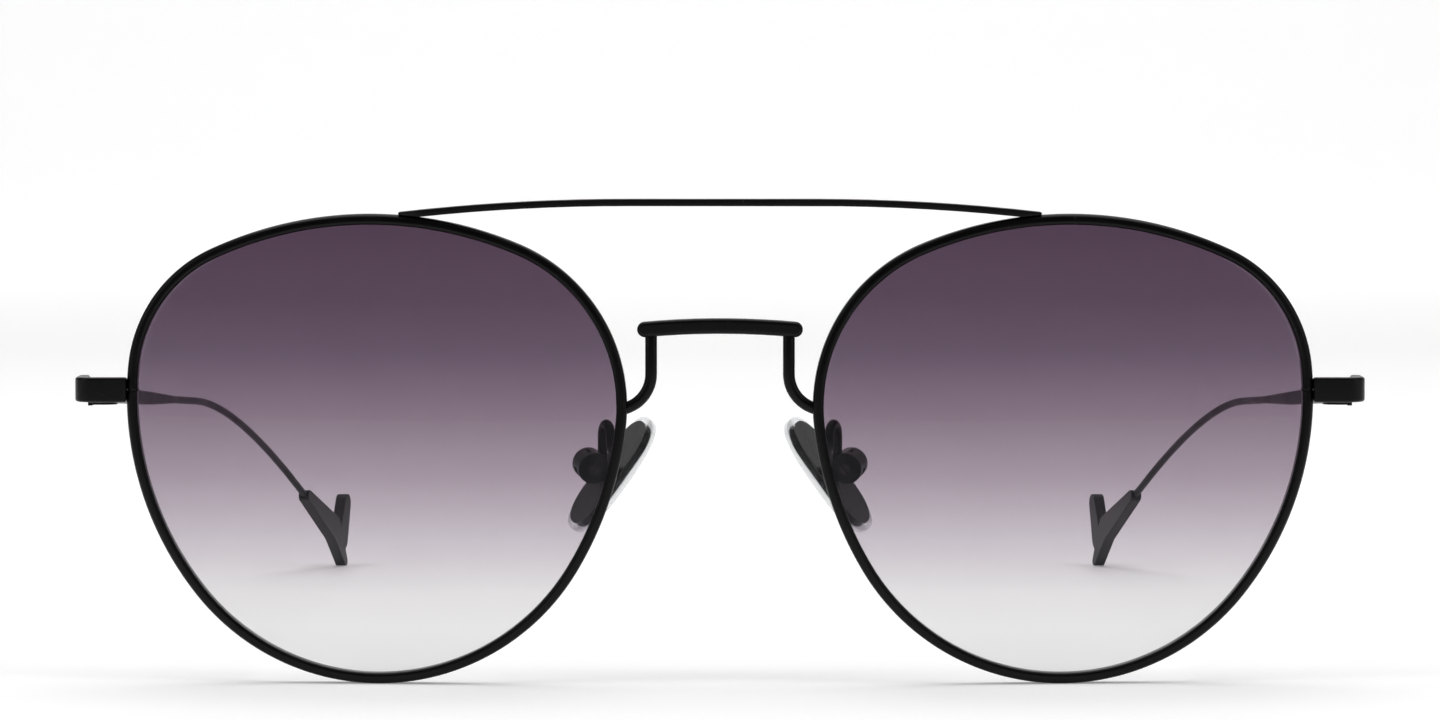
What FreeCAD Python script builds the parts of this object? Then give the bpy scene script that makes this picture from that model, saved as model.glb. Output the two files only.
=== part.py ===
"""Aviator sunglasses with thin metal eyewires, a brow bar and folding wire temples.

Frame: +X is the wearer's left, +Y runs back to the ears, +Z is up.
Z = 0 is the surface that the folded-open glasses stand on, and the origin is
the middle of their footprint. Sizes are in millimetres and degrees.
Everything is drawn for the wearer's left side and mirrored for the right.
"""
import FreeCAD
import Part
import os
import re
from math import asin, atan2, cos, pi, radians, sin

import Sketcher

SIZES = (
    # where the front of the eyewires lies, measured from the middle of the depth
    ("front_y", -71.9),
    # eyewire outline: arcs round the middle of the lens
    ("lens_centre_x", 35.67),
    ("bottom_radius", 24.245),
    ("bottom_drop", 0.29),
    ("nasal_radius", 18.29),
    ("nasal_in", 7.74),
    ("nasal_up", 4.43),
    ("nasal_side_radius", 37.5),
    ("outer_radius", 15.01),
    ("outer_out", 11.17),
    ("outer_up", 7.07),
    ("outer_side_radius", 33.39),
    ("top_radius", 39.92),
    # eyewire and lens section, on a sphere whose axis is moved towards the nose
    ("base_radius", 131.0),
    ("axis_shift", 9.0),
    ("prism_reach", 14.0),
    ("rim_width", 1.12),
    ("rim_depth", 2.1),
    ("groove_depth", 0.52),
    ("groove_width", 0.95),
    ("lens_gap", 0.03),
    ("lens_thickness", 1.8),
    ("tongue_width", 0.85),
    ("split_z", 30.55),
    ("split_gap", 0.04),
    # brow bar
    ("brow_top_z", 50.55),
    ("brow_short", 2.27),
    ("brow_flat", 9.5),
    ("brow_radius", 205.0),
    ("brow_height", 0.74),
    ("brow_depth", 2.0),
    ("brow_front", 0.5),
    ("brow_plan_radius", 300.0),
    # nose bridge: bar on two bent wire legs
    ("bridge_top_z", 38.15),
    ("bridge_over", 0.65),
    ("bridge_radius", 87.0),
    ("bridge_height", 1.6),
    ("bridge_depth", 1.8),
    ("bridge_y", 2.1),
    ("leg_in", 2.49),
    ("leg_radius", 0.62),
    ("leg_bend_z", 32.35),
    ("leg_bend_radius", 3.7),
    ("leg_bend_angle", 74.0),
    # end piece: strip that turns the corner to the hinge
    ("end_reach", 5.55),
    ("end_front", 4.5),
    ("end_thickness", 1.2),
    ("end_height", 2.6),
    ("end_z", 30.55),
    ("end_corner", 1.9),
    ("end_overlap", 3.0),
    # closing blocks and the screw that shuts the eyewire on its lens
    ("block_reach", 3.45),
    ("block_depth", 2.2),
    ("block_top_z", 31.6),
    ("block_bottom_z", 29.75),
    ("block_free_gap", 0.1),
    ("lock_reach", 1.85),
    ("lock_radius", 0.5),
    ("lock_head_radius", 0.95),
    ("lock_head_height", 0.4),
    ("lock_length", 1.9),
    # hinge
    ("hinge_y", 10.0),
    ("hinge_z", 30.0),
    ("barrel_radius", 1.2),
    ("leaf_thickness", 0.45),
    ("leaf_clear", 1.3),
    ("leaf_length", 1.3),
    ("mid_barrel", 0.8),
    ("side_barrel", 0.8),
    ("barrel_gap", 0.05),
    ("pin_radius", 0.6),
    ("pin_gap", 0.02),
    ("pin_head_radius", 0.95),
    ("pin_head_height", 0.25),
    ("slot_width", 0.25),
    ("slot_depth", 0.15),
    # temple: flat blade that thins to a wire, bent once behind the ear
    ("temple_gap", 0.2),
    ("temple_splay", 4.83),
    ("temple_fall", 4.05),
    ("blade_height", 2.1),
    ("blade_rise", 0.25),
    ("blade_thickness", 1.15),
    ("waist_height", 1.45),
    ("waist_thickness", 1.0),
    ("waist_at", 37),
    ("blade_length", 52),
    ("wire_radius", 0.42),
    ("corner_radius", 0.3),
    ("straight_length", 67.1),
    ("bend_radius", 116.8),
    ("bend_angle", 24.3),
    ("bend_tilt", 22.6),
    ("wire_lead", 4.3),
    ("wire_in_tip", 7.0),
    # temple tip: flat sleeve with a foot and an upturned toe, drawn along the wire
    ("tip_twist", 23.5),
    ("tip_thickness", 1.35),
    ("collar_radius", 0.7),
    ("limb_run", 12.0),
    ("limb_up", 0.2),
    ("limb_radius", 1.6),
    ("foot_run", 16.9),
    ("foot_down", 2.33),
    ("foot_radius", 0.58),
    ("toe_root_run", 15.0),
    ("toe_root_up", 0.2),
    ("toe_root_radius", 1.6),
    ("toe_run", 15.0),
    ("toe_up", 4.9),
    ("toe_radius", 1.15),
    # nose pad, its core plate and the box that holds it
    ("pad_out", 2.16),
    ("pad_y", 8.2),
    ("pad_z", 21.75),
    ("pad_yaw", 70.0),
    ("pad_roll", 35.5),
    ("pad_width", 7.6),
    ("pad_length", 14.2),
    ("pad_corner", 3.6),
    ("pad_thickness", 1.6),
    ("pad_border", 0.7),
    ("core_thickness", 0.8),
    ("tab_width", 0.9),
    ("tab_length", 1.2),
    ("tab_end", 0.5),
    ("tab_gap", 0.1),
    ("screw_out", 1.95),
    ("box_drop", 0.45),
    ("box_size", 2.7),
    ("box_radius", 1.65),
    ("box_wall", 0.4),
    ("pad_screw_radius", 0.3),
    ("pad_screw_gap", 0.03),
    ("pad_screw_head", 0.6),
    ("pad_screw_head_height", 0.3),
    # goose-neck wire from the eyewire to the box
    ("arm_out", 0.9),
    ("arm_y", 2.3),
    ("arm_z", 24.3),
    ("arm_sink", 1.05),
    ("arm_reach", 4.1),
    ("arm_yaw", 20.0),
    ("arm_foot", 0.6),
    ("arm_foot_radius", 0.9),
    ("arm_rise", 0.4),
    ("arm_drop", 2.5),
    ("arm_radius", 0.5),
)

NAMES = re.compile(r"\b(" + "|".join(alias for alias, _ in SIZES) + r")\b")
ORIGIN = FreeCAD.Vector(0, 0, 0)
UP = FreeCAD.Vector(0, 0, 1)
START, END, CENTRE = 1, 2, 3

doc = FreeCAD.newDocument("AviatorSunglasses")
sheet = doc.addObject("Spreadsheet::Sheet", "Sizes")
for row, (alias, number) in enumerate(SIZES, start=1):
    sheet.set("A%d" % row, alias)
    sheet.set("B%d" % row, str(number))
    sheet.setAlias("B%d" % row, alias)
doc.recompute()


# ---------------------------------------------------------------- helpers
def size(alias):
    """Value of one cell, for the first guess of a sketch's geometry."""
    return float(sheet.get(alias))


def bind(thing, path, text):
    """Tie a property to an expression written with the sheet's names."""
    thing.setExpression(path, NAMES.sub(r"Sizes.\1", text))


def place(thing, x="0", y="front_y", z="0", turn=""):
    """Bind the whole Placement; turn is a product of rotations."""
    rotation = turn or "rotation(vector(0; 0; 1); 0)"
    bind(thing, "Placement", "placement(vector(%s; %s; %s); %s)" % (x, y, z, rotation))


def about(axis, angle):
    """Expression of a rotation by an angle about a named axis."""
    vector = {"x": "vector(1; 0; 0)", "y": "vector(0; 1; 0)", "z": "vector(0; 0; 1)"}[axis]
    return "rotation(%s; %s)" % (vector, angle)


def new_body(name):
    return doc.addObject("PartDesign::Body", name)


def new_sketch(body, name, plane, offset=None):
    """Sketch on one of the body's own origin planes, at an optional height."""
    sketch = body.newObject("Sketcher::SketchObject", name)
    base = [item for item in body.Origin.OriginFeatures if item.Role == plane][0]
    sketch.AttachmentSupport = [(base, "")]
    sketch.MapMode = "FlatFace"
    if offset:
        bind(sketch, "AttachmentOffset.Base.z", offset)
    return sketch


def limit(sketch, kind, *where, to=None):
    """Add a constraint, and bind its value when one is given."""
    if to is None:
        return sketch.addConstraint(Sketcher.Constraint(kind, *where))
    guess = to[1]
    index = sketch.addConstraint(Sketcher.Constraint(kind, *where, guess))
    bind(sketch, "Constraints[%d]" % index, to[0])
    return index


def offset_point(sketch, geo, point, x, z):
    """Fix a point by its distances from the sketch origin, whichever side it is."""
    for kind, (text, guess) in (("DistanceX", x), ("DistanceY", z)):
        if guess < 0:
            limit(sketch, kind, geo, point, -1, START, to=("-(%s)" % text, -guess))
        else:
            limit(sketch, kind, -1, START, geo, point, to=(text, guess))


def arc(centre, radius, start, end):
    """Counter-clockwise arc; angles in radians."""
    circle = Part.Circle(FreeCAD.Vector(centre[0], centre[1], 0), UP, radius)
    return Part.ArcOfCircle(circle, start, end)


def line(start, end):
    return Part.LineSegment(FreeCAD.Vector(*start, 0), FreeCAD.Vector(*end, 0))


def pad(body, sketch, length, both=True):
    """Pad a sketch, about its plane or to one side of it."""
    feature = body.newObject("PartDesign::Pad", sketch.Name + "_pad")
    feature.Profile = sketch
    feature.Midplane = both
    bind(feature, "Length", length)
    return feature


def boolean(kind, name, base, tool):
    result = doc.addObject("Part::" + kind, name)
    result.Base = base
    result.Tool = tool
    return result


def fuse(name, shapes):
    result = doc.addObject("Part::MultiFuse", name)
    result.Shapes = shapes
    return result


def box(name, low, high):
    """Box between two corners, each given as three expressions."""
    block = doc.addObject("Part::Box", name)
    for side, start, end in zip(("Length", "Width", "Height"), low, high):
        bind(block, side, "(%s) - (%s)" % (end, start))
    place(block, *low)
    return block


def cylinder(name, radius, height, x="0", y="front_y", z="0", turn=""):
    rod = doc.addObject("Part::Cylinder", name)
    bind(rod, "Radius", radius)
    bind(rod, "Height", height)
    place(rod, x, y, z, turn)
    return rod


def rounded_rectangle(sketch, width, height, corner, rise=None):
    """Centred rectangle with four tangent corner arcs; values are (text, guess)."""
    half_w = width[1] / 2
    half_h = height[1] / 2
    r = corner[1]
    shift = rise[1] if rise else 0.0
    quarter = pi / 2
    corners = ((half_w - r, half_h - r, 0), (r - half_w, half_h - r, 1),
               (r - half_w, r - half_h, 2), (half_w - r, r - half_h, 3))
    arcs = [arc((x, y + shift), r, turn * quarter, (turn + 1) * quarter) for x, y, turn in corners]
    sketch.addGeometry(arcs, False)
    for index in range(4):
        start = sketch.Geometry[index].EndPoint
        end = sketch.Geometry[(index + 1) % 4].StartPoint
        sketch.addGeometry(Part.LineSegment(start, end), False)
    for index in range(4):
        limit(sketch, "Tangent", index, END, 4 + index, START)
        limit(sketch, "Tangent", 4 + index, END, (index + 1) % 4, START)
    for index in (1, 2, 3):
        limit(sketch, "Equal", 0, index)
    limit(sketch, "Horizontal", 4)
    limit(sketch, "Vertical", 5)
    limit(sketch, "Radius", 0, to=corner)
    half_span = ("(%s)/2 - %s" % (width[0], corner[0]), half_w - r)
    offset_point(sketch, 0, CENTRE, half_span, (
        "(%s)/2 - %s + (%s)" % (height[0], corner[0], rise[0] if rise else "0"), half_h - r + shift))
    limit(sketch, "DistanceX", 1, CENTRE, 0, CENTRE,
          to=("%s - 2*%s" % (width[0], corner[0]), width[1] - 2 * r))
    limit(sketch, "DistanceY", 3, CENTRE, 0, CENTRE,
          to=("%s - 2*%s" % (height[0], corner[0]), height[1] - 2 * r))


def tapered_bar(sketch, first, first_radius, second, second_radius):
    """Outline round two circles of unlike radius, joined by their outer tangents."""
    x0, z0 = first[0][1], first[1][1]
    x1, z1 = second[0][1], second[1][1]
    axis = FreeCAD.Vector(x1 - x0, z1 - z0, 0)
    heading = axis.getAngle(FreeCAD.Vector(1, 0, 0))
    if axis.y < 0:
        heading = -heading
    quarter = pi / 2
    lean = asin((first_radius[1] - second_radius[1]) / axis.Length)
    left = heading + quarter - lean
    right = heading - quarter + lean

    def on(x, z, radius, angle):
        return x + radius * cos(angle), z + radius * sin(angle)

    sketch.addGeometry([
        arc((x0, z0), first_radius[1], left, right + 4 * quarter),
        line(on(x0, z0, first_radius[1], right), on(x1, z1, second_radius[1], right)),
        arc((x1, z1), second_radius[1], right, left),
        line(on(x1, z1, second_radius[1], left), on(x0, z0, first_radius[1], left))], False)
    for geo, after in ((0, 1), (1, 2), (2, 3), (3, 0)):
        limit(sketch, "Tangent", geo, END, after, START)
    limit(sketch, "Radius", 0, to=first_radius)
    limit(sketch, "Radius", 2, to=second_radius)
    offset_point(sketch, 0, CENTRE, *first)
    offset_point(sketch, 2, CENTRE, *second)


def named(alias, sign=1):
    """Pair of expression and first guess for one sheet value."""
    return ("-" if sign < 0 else "") + alias, sign * size(alias)


# ---------------------------------------------------------------- eyewire and lens
def side_centre(first, second, side_radius, turn):
    """Centre of the arc that is tangent inside to two smaller arcs."""
    (ax, az, ar), (bx, bz, br) = first, second
    ra, rb = side_radius - ar, side_radius - br
    gap = ((bx - ax) ** 2 + (bz - az) ** 2) ** 0.5
    along = (ra * ra - rb * rb + gap * gap) / (2 * gap)
    away = (ra * ra - along * along) ** 0.5 * turn
    ux, uz = (bx - ax) / gap, (bz - az) / gap
    return ax + along * ux - away * uz, az + along * uz + away * ux


def lens_outline(sketch, inset):
    """Six tangent arcs round the lens, moved inwards by an inset."""
    text, amount = inset
    bottom = (0.0, -size("bottom_drop"), size("bottom_radius"))
    nasal = (-size("nasal_in"), size("nasal_up"), size("nasal_radius"))
    outer = (size("outer_out"), size("outer_up"), size("outer_radius"))
    radii = (size("outer_side_radius"), size("top_radius"), size("nasal_side_radius"))
    pairs = ((bottom, outer), (outer, nasal), (nasal, bottom))
    sides = [side_centre(a, b, radius, 1) + (radius,) for (a, b), radius in zip(pairs, radii)]
    ring = [bottom, sides[0], outer, sides[1], nasal, sides[2]]

    def joint(small, large):
        return atan2(small[1] - large[1], small[0] - large[0]) % (2 * pi)

    angles = [joint(ring[i], ring[i + 1]) if i % 2 == 0 else joint(ring[(i + 1) % 6], ring[i])
              for i in range(6)]
    arcs = []
    for index, (x, z, radius) in enumerate(ring):
        start, end = angles[index - 1], angles[index]
        if end < start:
            end += 2 * pi
        arcs.append(arc((x, z), radius - amount, start, end))
    sketch.addGeometry(arcs, False)
    for index in range(6):
        limit(sketch, "Tangent", index, END, (index + 1) % 6, START)
    cells = ("bottom_radius", "outer_side_radius", "outer_radius",
             "top_radius", "nasal_radius", "nasal_side_radius")
    for index, cell in enumerate(cells):
        limit(sketch, "Radius", index, to=("%s - (%s)" % (cell, text), size(cell) - amount))
    limit(sketch, "PointOnObject", 0, CENTRE, -2)
    limit(sketch, "DistanceY", 0, CENTRE, -1, START, to=named("bottom_drop"))
    offset_point(sketch, 2, CENTRE, named("outer_out"), named("outer_up"))
    offset_point(sketch, 4, CENTRE, named("nasal_in", -1), named("nasal_up"))


LENS_Z = "bottom_radius + bottom_drop"
OUTER_SIDE = "lens_centre_x + outer_out + outer_radius"
NASAL_SIDE = "lens_centre_x - nasal_in - nasal_radius"
OUTER_EDGE = size("lens_centre_x") + size("outer_out") + size("outer_radius")
NASAL_EDGE = size("lens_centre_x") - size("nasal_in") - size("nasal_radius")
# places tied to the lenses' sides, each as a formula and its value
END_X = (OUTER_SIDE + " + end_reach", OUTER_EDGE + size("end_reach"))
BROW_END = ("lens_centre_x - brow_short", size("lens_centre_x") - size("brow_short"))
LEG_X = (NASAL_SIDE + " - leg_in", NASAL_EDGE - size("leg_in"))
BRIDGE_END = (LEG_X[0] + " + bridge_over", LEG_X[1] + size("bridge_over"))
BLOCK_END = OUTER_SIDE + " + block_reach"
LOCK_X = OUTER_SIDE + " + lock_reach"
PAD_X = NASAL_SIDE + " + pad_out"
FRONT_RADIUS = "(base_radius + rim_depth/2)"


def lens_prism(name, inset):
    """Straight-sided block with the lens outline."""
    body = new_body(name)
    sketch = new_sketch(body, name + "_outline", "XZ_Plane")
    lens_outline(sketch, inset)
    pad(body, sketch, "2*prism_reach")
    place(body, "lens_centre_x", "front_y", LENS_Z)
    return body


def sphere(name, radius):
    ball = doc.addObject("Part::Sphere", name)
    bind(ball, "Radius", radius)
    place(ball, "lens_centre_x - axis_shift", "front_y + " + FRONT_RADIUS, LENS_Z)
    return ball


def curved_plate(name, prism, thickness):
    """The part of a prism that lies in a spherical shell of this thickness."""
    outside = sphere(name + "_outside", "base_radius + (%s)/2" % thickness)
    inside = sphere(name + "_inside", "base_radius - (%s)/2" % thickness)
    front = boolean("Common", name + "_front", prism, outside)
    return boolean("Cut", name, front, inside)


rim_prism = lens_prism("rim_prism", ("0", 0.0))
opening_prism = lens_prism("opening_prism", named("rim_width"))
groove_inset = ("rim_width - groove_depth", size("rim_width") - size("groove_depth"))
groove_prism = lens_prism("groove_prism", groove_inset)
lens_prism_body = lens_prism("lens_prism", ("rim_width + lens_gap", size("rim_width") + size("lens_gap")))
tongue_prism = lens_prism("tongue_prism", (
    "rim_width - groove_depth + lens_gap",
    size("rim_width") - size("groove_depth") + size("lens_gap")))


def make_rim():
    """Eyewire: grooved inside, and split at the closing blocks."""
    ring = boolean("Cut", "rim_ring", curved_plate("rim_plate", rim_prism, "rim_depth"), opening_prism)
    grooved = boolean("Cut", "rim_grooved", ring, curved_plate("rim_groove", groove_prism, "groove_width"))
    split = box("rim_split",
                ("lens_centre_x + outer_out", "front_y", "split_z - split_gap/2"),
                (END_X[0], "front_y + prism_reach", "split_z + split_gap/2"))
    return boolean("Cut", "left_rim", grooved, split)


def make_lens():
    """Lens with a bevel tongue that sits in the eyewire's groove."""
    plate = curved_plate("lens_plate", lens_prism_body, "lens_thickness")
    tongue = curved_plate("lens_tongue", tongue_prism, "tongue_width")
    lens = doc.addObject("Part::MultiFuse", "left_lens")
    lens.Shapes = [plate, tongue]
    lens.Refine = True
    return lens


# ---------------------------------------------------------------- brow bar and bridge
def mirrored(name, source):
    """Copy of a left-hand shape on the wearer's right."""
    copy = doc.addObject("Part::Mirroring", name)
    copy.Source = source
    copy.Base = ORIGIN
    copy.Normal = FreeCAD.Vector(1, 0, 0)
    return copy


def make_brow_bar(right_prism):
    """Thin strip, flat in the middle and falling to the tops of both eyewires."""
    body = new_body("brow_strip")
    sketch = new_sketch(body, "brow_outline", "XZ_Plane")
    flat, top, radius = size("brow_flat"), size("brow_top_z"), size("brow_radius")
    thick, half = size("brow_height"), BROW_END[1]
    quarter = pi / 2
    reach = asin((half - flat) / radius)
    reach_low = asin((half - flat) / (radius - thick))
    centre_z = top - radius
    sketch.addGeometry([
        arc((flat, centre_z), radius, quarter - reach, quarter),
        line((flat, top), (-flat, top)),
        arc((-flat, centre_z), radius, quarter, quarter + reach),
        arc((-flat, centre_z), radius - thick, quarter, quarter + reach_low),
        line((-flat, top - thick), (flat, top - thick)),
        arc((flat, centre_z), radius - thick, quarter - reach_low, quarter)], False)
    tops = [sketch.Geometry[2].EndPoint, sketch.Geometry[0].StartPoint]
    lows = [sketch.Geometry[3].EndPoint, sketch.Geometry[5].StartPoint]
    sketch.addGeometry([Part.LineSegment(tops[0], lows[0]), Part.LineSegment(lows[1], tops[1])], False)
    for geo, spot, after, after_spot in ((0, END, 1, START), (1, END, 2, START),
                                         (3, START, 4, START), (4, END, 5, END)):
        limit(sketch, "Tangent", geo, spot, after, after_spot)
    for geo, spot, after, after_spot in ((2, END, 6, START), (6, END, 3, END),
                                         (5, START, 7, START), (7, END, 0, START),
                                         (0, CENTRE, 5, CENTRE), (2, CENTRE, 3, CENTRE)):
        limit(sketch, "Coincident", geo, spot, after, after_spot)
    limit(sketch, "Horizontal", 1)
    limit(sketch, "Vertical", 6)
    limit(sketch, "Vertical", 7)
    limit(sketch, "Radius", 0, to=named("brow_radius"))
    limit(sketch, "Radius", 2, to=named("brow_radius"))
    limit(sketch, "Radius", 5, to=("brow_radius - brow_height", radius - thick))
    limit(sketch, "DistanceX", -1, START, 0, CENTRE, to=named("brow_flat"))
    limit(sketch, "DistanceX", 2, CENTRE, -1, START, to=named("brow_flat"))
    limit(sketch, "DistanceY", -1, START, 1, START, to=named("brow_top_z"))
    limit(sketch, "DistanceX", -1, START, 7, START, to=BROW_END)
    limit(sketch, "DistanceX", 6, START, -1, START, to=BROW_END)
    pad(body, sketch, "2*prism_reach")
    place(body)
    middle_y = "front_y + brow_front + brow_plan_radius"
    height = "brow_top_z + prism_reach"
    outside = cylinder("brow_plan_outside", "brow_plan_radius", height, y=middle_y)
    inside = cylinder("brow_plan_inside", "brow_plan_radius - brow_depth", height, y=middle_y)
    front = boolean("Common", "brow_front_face", body, outside)
    strip = boolean("Cut", "brow_curved", front, inside)
    on_left = boolean("Cut", "brow_on_left", strip, rim_prism)
    return boolean("Cut", "brow_bar", on_left, right_prism)


def make_bridge_bar():
    """Gently arched bar with round ends."""
    body = new_body("bridge_bar")
    sketch = new_sketch(body, "bridge_outline", "XZ_Plane")
    radius, thick, half = size("bridge_radius"), size("bridge_height"), BRIDGE_END[1]
    centre_z = size("bridge_top_z") - radius
    middle = radius - thick / 2
    reach = asin(half / middle)
    quarter = pi / 2
    ends = [(side * half, centre_z + middle * cos(reach)) for side in (1, -1)]
    sketch.addGeometry([
        arc((0, centre_z), radius, quarter - reach, quarter + reach),
        arc(ends[1], thick / 2, quarter + reach, 3 * quarter + reach),
        arc((0, centre_z), radius - thick, quarter - reach, quarter + reach),
        arc(ends[0], thick / 2, -quarter - reach, quarter - reach)], False)
    for geo, spot, after, after_spot in ((0, END, 1, START), (1, END, 2, END),
                                         (2, START, 3, START), (3, END, 0, START)):
        limit(sketch, "Tangent", geo, spot, after, after_spot)
    limit(sketch, "PointOnObject", 0, CENTRE, -2)
    limit(sketch, "Coincident", 0, CENTRE, 2, CENTRE)
    limit(sketch, "Radius", 0, to=named("bridge_radius"))
    limit(sketch, "Radius", 2, to=("bridge_radius - bridge_height", radius - thick))
    limit(sketch, "DistanceY", 0, CENTRE, -1, START,
          to=("bridge_radius - bridge_top_z", radius - size("bridge_top_z")))
    limit(sketch, "DistanceX", -1, START, 3, CENTRE, to=BRIDGE_END)
    limit(sketch, "DistanceX", 1, CENTRE, -1, START, to=BRIDGE_END)
    pad(body, sketch, "bridge_depth")
    place(body, "0", "front_y + bridge_y", "0")
    return body


def bent_wire(name, radius, path):
    """Round wire along a path drawn in its own XZ plane, starting down the Z axis."""
    body = new_body(name)
    spine = new_sketch(body, name + "_path", "XZ_Plane")
    path(spine)
    section = new_sketch(body, name + "_section", "XY_Plane")
    section.addGeometry(Part.Circle(ORIGIN, UP, size(radius)), False)
    limit(section, "Coincident", 0, CENTRE, -1, START)
    limit(section, "Radius", 0, to=named(radius))
    doc.recompute()
    pipe = body.newObject("PartDesign::AdditivePipe", name + "_pipe")
    pipe.Profile = section
    pipe.Spine = (spine, [])
    return body


def make_bridge_leg(bridge_bar):
    """Wire from the bar down and out to the nasal side of the eyewire."""
    top_z = "bridge_top_z - bridge_height/2 - (%s)^2/(2*bridge_radius)" % LEG_X[0]
    sag = LEG_X[1] ** 2 / (2 * size("bridge_radius"))
    drop = size("bridge_top_z") - size("bridge_height") / 2 - sag - size("leg_bend_z")
    radius = size("leg_bend_radius")
    turn = radians(size("leg_bend_angle"))

    def path(sketch):
        sketch.addGeometry([
            line((0, 0), (0, -drop)),
            arc((radius, -drop), radius, pi, pi + turn)], False)
        limit(sketch, "Coincident", 0, START, -1, START)
        limit(sketch, "Vertical", 0)
        limit(sketch, "DistanceY", 0, END, 0, START, to=(top_z + " - leg_bend_z", drop))
        limit(sketch, "Tangent", 0, END, 1, START)
        limit(sketch, "Radius", 1, to=named("leg_bend_radius"))
        limit(sketch, "DistanceY", 1, END, 1, START,
              to=("leg_bend_radius*sin(leg_bend_angle)", radius * sin(turn)))

    wire = bent_wire("leg_wire", "leg_radius", path)
    place(wire, LEG_X[0], "front_y + bridge_y", top_z)
    below_bar = boolean("Cut", "leg_below_bar", wire, bridge_bar)
    return boolean("Cut", "left_bridge_leg", below_bar, rim_prism)


# ---------------------------------------------------------------- end piece and closing blocks
def make_endpiece():
    """Strip from the eyewire round the corner to the hinge."""
    body = new_body("end_strip")
    sketch = new_sketch(body, "end_outline", "XY_Plane")
    out_x, front, thick = END_X[1], size("end_front"), size("end_thickness")
    corner = size("end_corner")
    back = size("hinge_y")
    start = size("lens_centre_x") + size("bottom_radius") - size("end_overlap")
    inner = corner - thick
    cx, cy = out_x - corner, front + corner
    sketch.addGeometry([
        line((start, front), (cx, front)),
        arc((cx, cy), corner, -pi / 2, 0),
        line((out_x, cy), (out_x, back)),
        line((out_x, back), (out_x - thick, back)),
        line((out_x - thick, back), (out_x - thick, cy)),
        arc((cx, cy), inner, -pi / 2, 0),
        line((cx, front + thick), (start, front + thick)),
        line((start, front + thick), (start, front))], False)
    for geo, spot, after, after_spot in ((0, END, 1, START), (1, END, 2, START),
                                         (4, END, 5, END), (5, START, 6, START)):
        limit(sketch, "Tangent", geo, spot, after, after_spot)
    for geo, after in ((2, 3), (3, 4), (6, 7), (7, 0)):
        limit(sketch, "Coincident", geo, END, after, START)
    limit(sketch, "Coincident", 1, CENTRE, 5, CENTRE)
    limit(sketch, "Horizontal", 0)
    limit(sketch, "Horizontal", 3)
    limit(sketch, "Vertical", 2)
    limit(sketch, "Vertical", 7)
    limit(sketch, "Radius", 1, to=named("end_corner"))
    limit(sketch, "Radius", 5, to=("end_corner - end_thickness", inner))
    limit(sketch, "DistanceX", -1, START, 2, START, to=END_X)
    limit(sketch, "DistanceY", -1, START, 0, START, to=named("end_front"))
    limit(sketch, "DistanceY", -1, START, 2, END, to=named("hinge_y"))
    limit(sketch, "DistanceX", -1, START, 0, START,
          to=("lens_centre_x + bottom_radius - end_overlap", start))
    pad(body, sketch, "end_height")
    place(body, "0", "front_y", "end_z")
    return boolean("Cut", "left_endpiece", body, rim_prism)


BLOCK_FRONT = "front_y + end_front + end_thickness"
LOCK_Y = BLOCK_FRONT + " + block_depth/2"


def make_closing_blocks():
    """Two blocks on the split eyewire, pulled together by the lock screw."""
    back = BLOCK_FRONT + " + block_depth"
    under = "block_bottom_z - lock_head_height"
    shank = cylinder("lock_shank", "lock_radius", "lock_length + lock_head_height",
                     LOCK_X, LOCK_Y, under)
    head = cylinder("lock_head", "lock_head_radius", "lock_head_height", LOCK_X, LOCK_Y, under)
    slot = box("lock_slot",
               (LOCK_X + " - lock_head_radius", LOCK_Y + " - slot_width/2", under),
               (LOCK_X + " + lock_head_radius", LOCK_Y + " + slot_width/2", under + " + slot_depth"))
    screw = boolean("Cut", "left_rim_lock_screw", fuse("lock_screw", [shank, head]), slot)
    blocks = []
    for part, low, high, front in (
            ("upper", "split_z + split_gap/2", "block_top_z", BLOCK_FRONT),
            ("lower", "block_bottom_z", "split_z - split_gap/2", BLOCK_FRONT + " + block_free_gap")):
        block = box(part + "_block", ("lens_centre_x + outer_out", front, low), (BLOCK_END, back, high))
        beside = boolean("Cut", part + "_block_beside_rim", block, rim_prism)
        blocks.append(boolean("Cut", "left_closing_block_" + part, beside, shank))
    return blocks + [screw]


# ---------------------------------------------------------------- hinge
LEAF_X = END_X[0] + " - end_thickness"
HINGE_X = LEAF_X + " - leaf_thickness - barrel_radius"
HINGE_Y = "front_y + hinge_y"


def barrel_levels():
    """Bottom and top of the lower, middle and upper barrels."""
    middle = ("hinge_z - mid_barrel/2", "hinge_z + mid_barrel/2")
    lower = (middle[0] + " - barrel_gap - side_barrel", middle[0] + " - barrel_gap")
    upper = (middle[1] + " + barrel_gap", middle[1] + " + barrel_gap + side_barrel")
    return lower, middle, upper


def hinge_half(name, levels, direction):
    """Barrels with webs to a flat leaf; direction is -1 for the front, 1 for the temple."""
    lower, _, upper = barrel_levels()
    near = HINGE_Y + " %+d*leaf_clear" % direction
    far = HINGE_Y + " %+d*(leaf_clear + leaf_length)" % direction
    leaf_from, leaf_to = (far, near) if direction < 0 else (near, far)
    edge = HINGE_Y + " %+d*barrel_gap" % direction
    web_from, web_to = (near, edge) if direction < 0 else (edge, near)
    pieces = [box(name + "_leaf", (LEAF_X + " - leaf_thickness", leaf_from, lower[0]),
                  (LEAF_X, leaf_to, upper[1]))]
    for index, (low, high) in enumerate(levels):
        pieces.append(cylinder("%s_barrel_%d" % (name, index), "barrel_radius",
                               "(%s) - (%s)" % (high, low), HINGE_X, HINGE_Y, low))
        pieces.append(box("%s_web_%d" % (name, index), (HINGE_X, web_from, low),
                          (LEAF_X, web_to, high)))
    bore = cylinder(name + "_bore", "pin_radius + pin_gap", "3*(mid_barrel + 2*side_barrel)",
                    HINGE_X, HINGE_Y, "hinge_z - 1.5*(mid_barrel + 2*side_barrel)")
    return boolean("Cut", name, fuse(name + "_solid", pieces), bore)


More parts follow.
